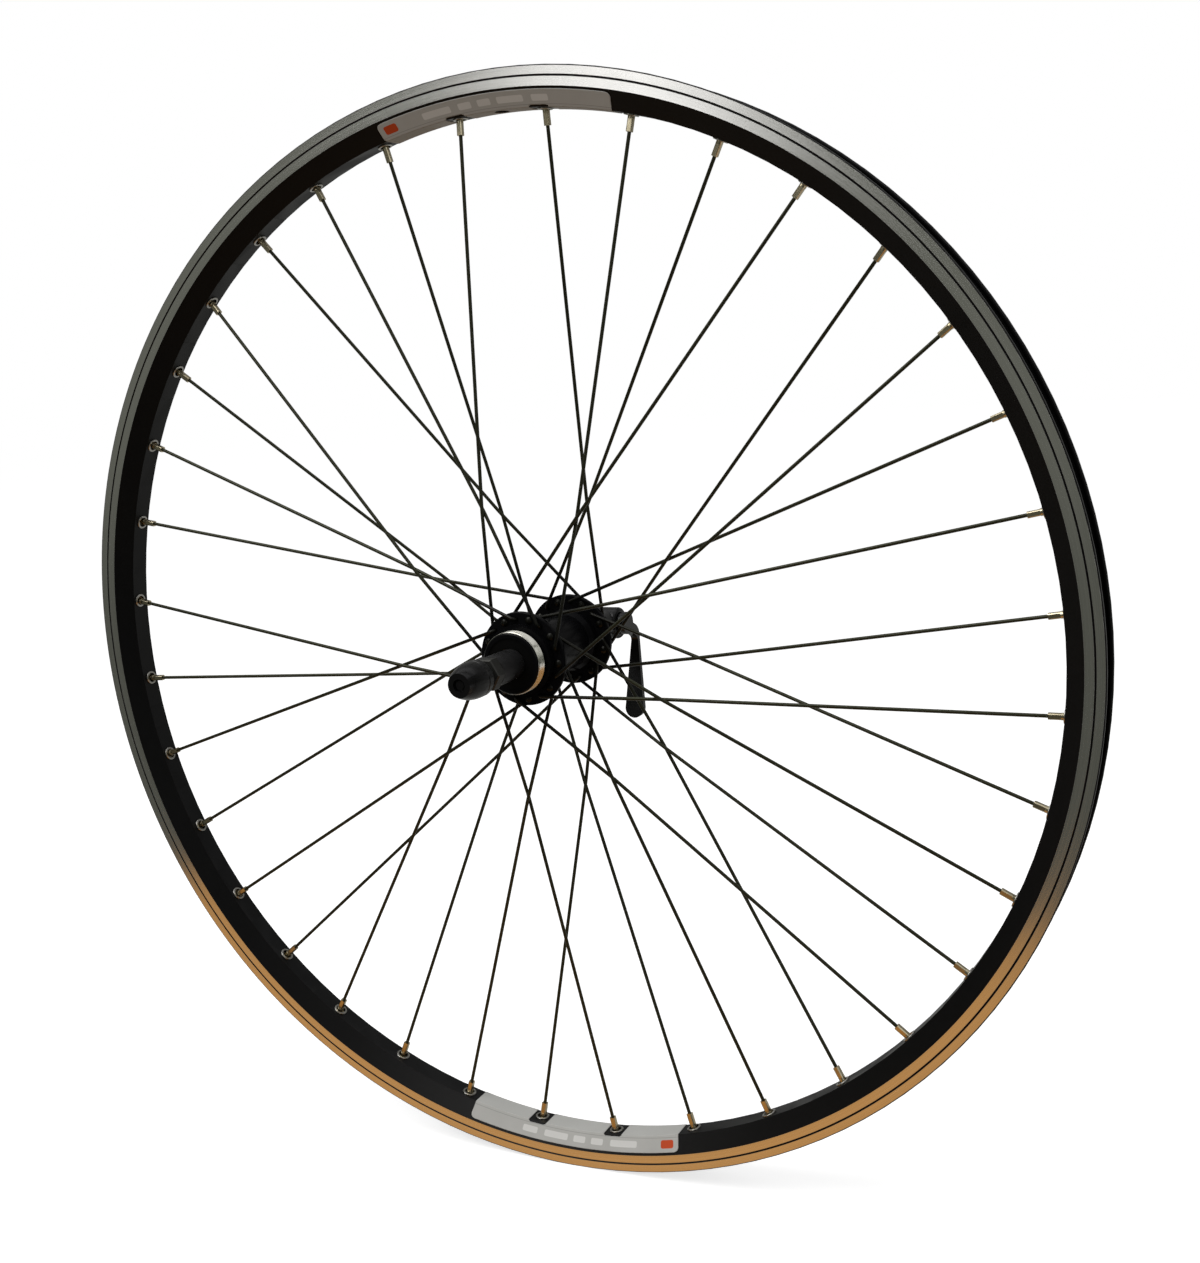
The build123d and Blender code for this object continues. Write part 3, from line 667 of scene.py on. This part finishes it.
world_light = 0.45
white_world(world_light)
ground = cad_box[0][2]
floor_reach = 9.0
floor_pale, table_tan, floor_glow = (0.62, 0.62, 0.62), (0.16, 0.10, 0.05), (0.72, 0.72, 0.72)
floor_corners = flat(-floor_reach, floor_reach, -floor_reach, floor_reach, ground)
sheet_of("floor", floor_corners, floor_pale, floor_glow, bounce=table_tan)
print("floor at", round(ground, 4))

# %% [markdown]
# ## The studio: something to mirror
# Turned metal only looks like metal when it has something to mirror. A tan card lies in front of the
# wheel, as on a photographer's table, with grey cards round it and behind the wheel. Grey walls stand on
# four sides, and one bright window is in the wall behind the camera. The cards and walls glow evenly and
# show in reflections alone.

# %% Cards and walls


def card(name, corners, glow_colour):
    """A sheet that shows in mirrors alone, with a steady glow whatever the lamps do."""
    black = (0.0, 0.0, 0.0)
    obj = sheet_of(name, corners, black, glow_colour)
    obj.visible_camera = obj.visible_diffuse = obj.visible_shadow = False


def upright(x0, x1, y, z0, z1):
    """Corners of a standing rectangle that faces the wheel."""
    return [(x0, y, z0), (x1, y, z0), (x1, y, z1), (x0, y, z1)]


def sideways(x, y0, y1, z0, z1):
    """Corners of a standing rectangle at one side of the room."""
    return [(x, y0, z0), (x, y1, z0), (x, y1, z1), (x, y0, z1)]


above_floor = ground + 0.5 * mm
room, room_back, room_height = 5.0, 3.2, 5.0
table_left, table_right, table_front = -0.62, 0.8, -0.45
rim_face = 12.7 * mm
window_left, window_right, window_low, window_high = -1.7, -1.05, 0.3, 4.0
window_y = 0.02 - room_back
tan, window_white = (0.58, 0.30, 0.10), (1.7, 1.7, 1.7)
floor_grey, wall_grey = (0.085, 0.088, 0.075), (0.135, 0.14, 0.12)
back_grey, back_wall_grey = (0.48, 0.48, 0.46), (0.26, 0.26, 0.25)

card("tan_card", flat(table_left, table_right, table_front, -rim_face, above_floor), tan)
card("grey_card_left", flat(-room, table_left, table_front, -rim_face, above_floor), floor_grey)
card("grey_card_front", flat(-room, room, -room_back, table_front, above_floor), floor_grey)
card("grey_card_back", flat(-room, room, rim_face, room_back, above_floor), back_grey)
card("grey_wall_front", upright(-room, room, -room_back, ground, room_height), wall_grey)
card("grey_wall_back", upright(-room, room, room_back, ground, room_height), back_wall_grey)
card("grey_wall_right", sideways(room, -room_back, room_back, ground, room_height), wall_grey)
card("grey_wall_left", sideways(-room, -room_back, room_back, ground, room_height), wall_grey)
card("window", upright(window_left, window_right, window_y, window_low, window_high), window_white)
print("room", 2 * room, "by", 2 * room_back, "m")

# %% [markdown]
# ## The studio: lamps
# One large lamp high up on the left gives the spoke bed its gradient and the wheel its shadow. A weak
# lamp on the right keeps that side from going flat. Both are square and face the wheel's middle.

# %% Lamps


def area_lamp(name, spot, size, watts, colour):
    """A square lamp at a spot, turned to face the wheel's middle."""
    lamp = bpy.data.lights.new(name, "AREA")
    lamp.size = size
    lamp.energy = watts
    lamp.color = colour
    obj = bpy.data.objects.new(name, lamp)
    scene.collection.objects.link(obj)
    obj.location = spot
    obj.rotation_euler = (-Vector(spot)).to_track_quat("-Z", "Y").to_euler()
    print(name, watts, "W at", spot)


key_spot, fill_spot = (-0.9, -1.2, 2.0), (1.8, -1.2, 0.9)
key_size, fill_size = 1.6, 1.2
key_watts, fill_watts = 34.0, 4.0
key_white, fill_white = (1.0, 0.99, 0.97), (1.0, 1.0, 1.0)
area_lamp("key_above", key_spot, key_size, key_watts, key_white)
area_lamp("fill_right", fill_spot, fill_size, fill_watts, fill_white)

# %% [markdown]
# ## The camera
# The view was worked out from the rim's ellipse, the eyelets and the ends of the axle. The wheel isn't in
# the middle of the picture's perspective, so the lens has a small shift as well as a turn.

# %% Camera
photo_width, photo_height = 1200, 1263
azimuth, elevation, roll = radians(24.73), radians(11.07), radians(-3.51)
camera_distance, nearest = 860.3 * mm, 10.0 * mm
focal_pixels = 1546.7
target = Vector((74.8 * mm, 0.0, 2.9 * mm))
principal_x, principal_y = 661.2, 648.6

back = Vector((sin(azimuth) * cos(elevation), -cos(azimuth) * cos(elevation), sin(elevation)))
level_right = Vector((cos(azimuth), sin(azimuth), 0.0))
level_up = back.cross(level_right)
right = cos(roll) * level_right + sin(roll) * level_up
up = back.cross(right)

lens = bpy.data.cameras.new("camera")
lens.lens = focal_pixels / photo_height * lens.sensor_width
lens.shift_x = (photo_width / 2 - principal_x) / photo_height
lens.shift_y = (principal_y - photo_height / 2) / photo_height
lens.clip_start = nearest
camera = bpy.data.objects.new("camera", lens)
scene.collection.objects.link(camera)
turn = Matrix((right, up, back)).transposed().to_4x4()
camera.matrix_world = Matrix.Translation(target + camera_distance * back) @ turn
scene.camera = camera
print("lens", round(lens.lens, 2), "shift", round(lens.shift_x, 4), round(lens.shift_y, 4))
